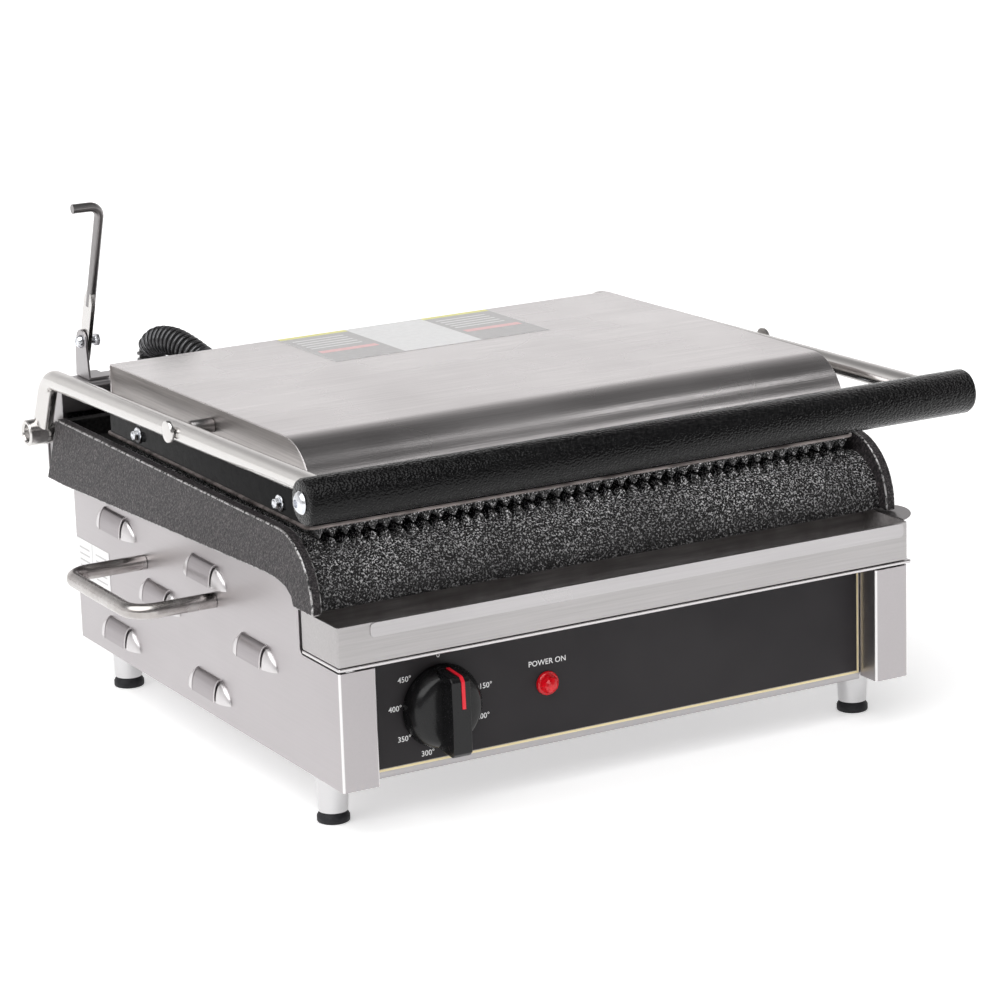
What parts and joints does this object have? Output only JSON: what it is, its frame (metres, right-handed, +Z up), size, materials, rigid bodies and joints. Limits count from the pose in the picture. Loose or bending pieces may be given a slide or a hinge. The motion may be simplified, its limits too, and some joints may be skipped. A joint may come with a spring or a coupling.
{
  "type": "countertop panini grill",
  "caption": "Countertop contact grill with a grooved cast plate below and a hinged grooved platen above, front grease tray, dial control, side carrying handles and feet",
  "frame": {"origin": "middle of the whole footprint, on the counter under the feet", "axes": "+X to the right seen from the front, +Y to the back where the lid hinge is, +Z up"},
  "size_m": [0.4964, 0.4384, 0.3095],
  "materials": {
    "brushed_stainless": "brushed",
    "cover_stainless": "brushed, grain across the width",
    "polished_steel": "polished",
    "cast_iron_enamel": "seasoned, coarse speckled",
    "black_gloss_enamel": "high gloss enamel",
    "handle_powder_coat": "textured gloss powder coat",
    "panel_overlay": "satin printed overlay",
    "black_plastic": "moulded",
    "red_lens": "faceted red lens",
    "foot_rubber": "moulded",
    "zinc_plate": "bright zinc plate",
    "heater_sheath": "oxidised sheath",
    "insulation_wool": "mineral wool mat",
    "terminal_ceramic": "unglazed",
    "spring_steel": "oiled",
    "conduit_black": "corrugated, black"
  },
  "bodies": {
    "base": {"back_panel": "brushed_stainless", "bottom_plate": "brushed_stainless", "conduit_fitting_base": "zinc_plate", "control_panel": "panel_overlay", "cord_gland": "black_plastic", "foot_front_left": "foot_rubber", "foot_front_right": "foot_rubber", "foot_rear_left": "foot_rubber", "foot_rear_right": "foot_rubber", "front_shelf": "brushed_stainless", "hinge_bearing_left": "brushed_stainless", "hinge_bearing_right": "brushed_stainless", "hinge_cover": "brushed_stainless", "hinge_shaft": "polished_steel", "lamp_body": "black_plastic", "lamp_lens": "red_lens", "leg_front_left": "polished_steel", "leg_front_right": "polished_steel", "leg_rear_left": "polished_steel", "leg_rear_right": "polished_steel", "lever_bracket": "brushed_stainless", "lever_screw": "zinc_plate", "lower_element_clamp": "brushed_stainless", "lower_griddle": "cast_iron_enamel", "lower_heating_element": "heater_sheath", "side_handle_left": "polished_steel", "side_handle_right": "polished_steel", "side_panel_left": "brushed_stainless", "side_panel_right": "brushed_stainless", "terminal_block": "terminal_ceramic", "thermostat": "zinc_plate", "thermostat_bulb": "zinc_plate", "torsion_spring_left": "spring_steel", "torsion_spring_right": "spring_steel", "wiring_conduit": "conduit_black"},
    "arm_frame": {"arm_left": "polished_steel", "arm_right": "polished_steel", "handle_grip": "handle_powder_coat", "handle_screw_left": "zinc_plate", "handle_screw_right": "zinc_plate", "pivot_pin_left": "polished_steel", "pivot_pin_right": "polished_steel", "pivot_spacer_left": "polished_steel", "pivot_spacer_right": "polished_steel"},
    "platen": {"upper_griddle": "cast_iron_enamel", "platen_shell": "black_gloss_enamel", "platen_cover": "cover_stainless", "shell_screw_front_left": "zinc_plate", "shell_screw_front_right": "zinc_plate", "shell_screw_rear_left": "zinc_plate", "shell_screw_rear_right": "zinc_plate", "pivot_bracket_left": "brushed_stainless", "pivot_bracket_right": "brushed_stainless", "upper_heating_element": "heater_sheath", "platen_insulation": "insulation_wool", "conduit_fitting_platen": "zinc_plate"},
    "tray": {"grease_tray": "brushed_stainless"},
    "knob": {"control_knob": "black_plastic"},
    "lever": {"lock_lever": "brushed_stainless"}
  },
  "joints": [
    {"name": "lid_hinge", "type": "hinge", "parent": "base", "child": "arm_frame", "pos_m": [0, 0.20167, 0.161], "axis": [-1, 0, 0], "range_deg": [0, 40], "deforming": ["wiring_conduit"]},
    {"name": "platen_pivot", "type": "hinge", "parent": "arm_frame", "child": "platen", "pos_m": [0, -0.01432, 0.205], "axis": [1, 0, 0], "range_deg": [-0.4, 0.4]},
    {"name": "knob_turn", "type": "hinge", "parent": "base", "child": "knob", "pos_m": [-0.12, -0.17733, 0.065], "axis": [0, 1, 0], "range_deg": [0, 310]},
    {"name": "tray_slide", "type": "slide", "parent": "base", "child": "tray", "axis": [0, -1, 0], "range_m": [0, 0.046]},
    {"name": "lever_turn", "type": "hinge", "parent": "base", "child": "lever", "pos_m": [-0.164, 0.20717, 0.214], "axis": [-1, 0, 0], "range_deg": [0, 100]}
  ]
}
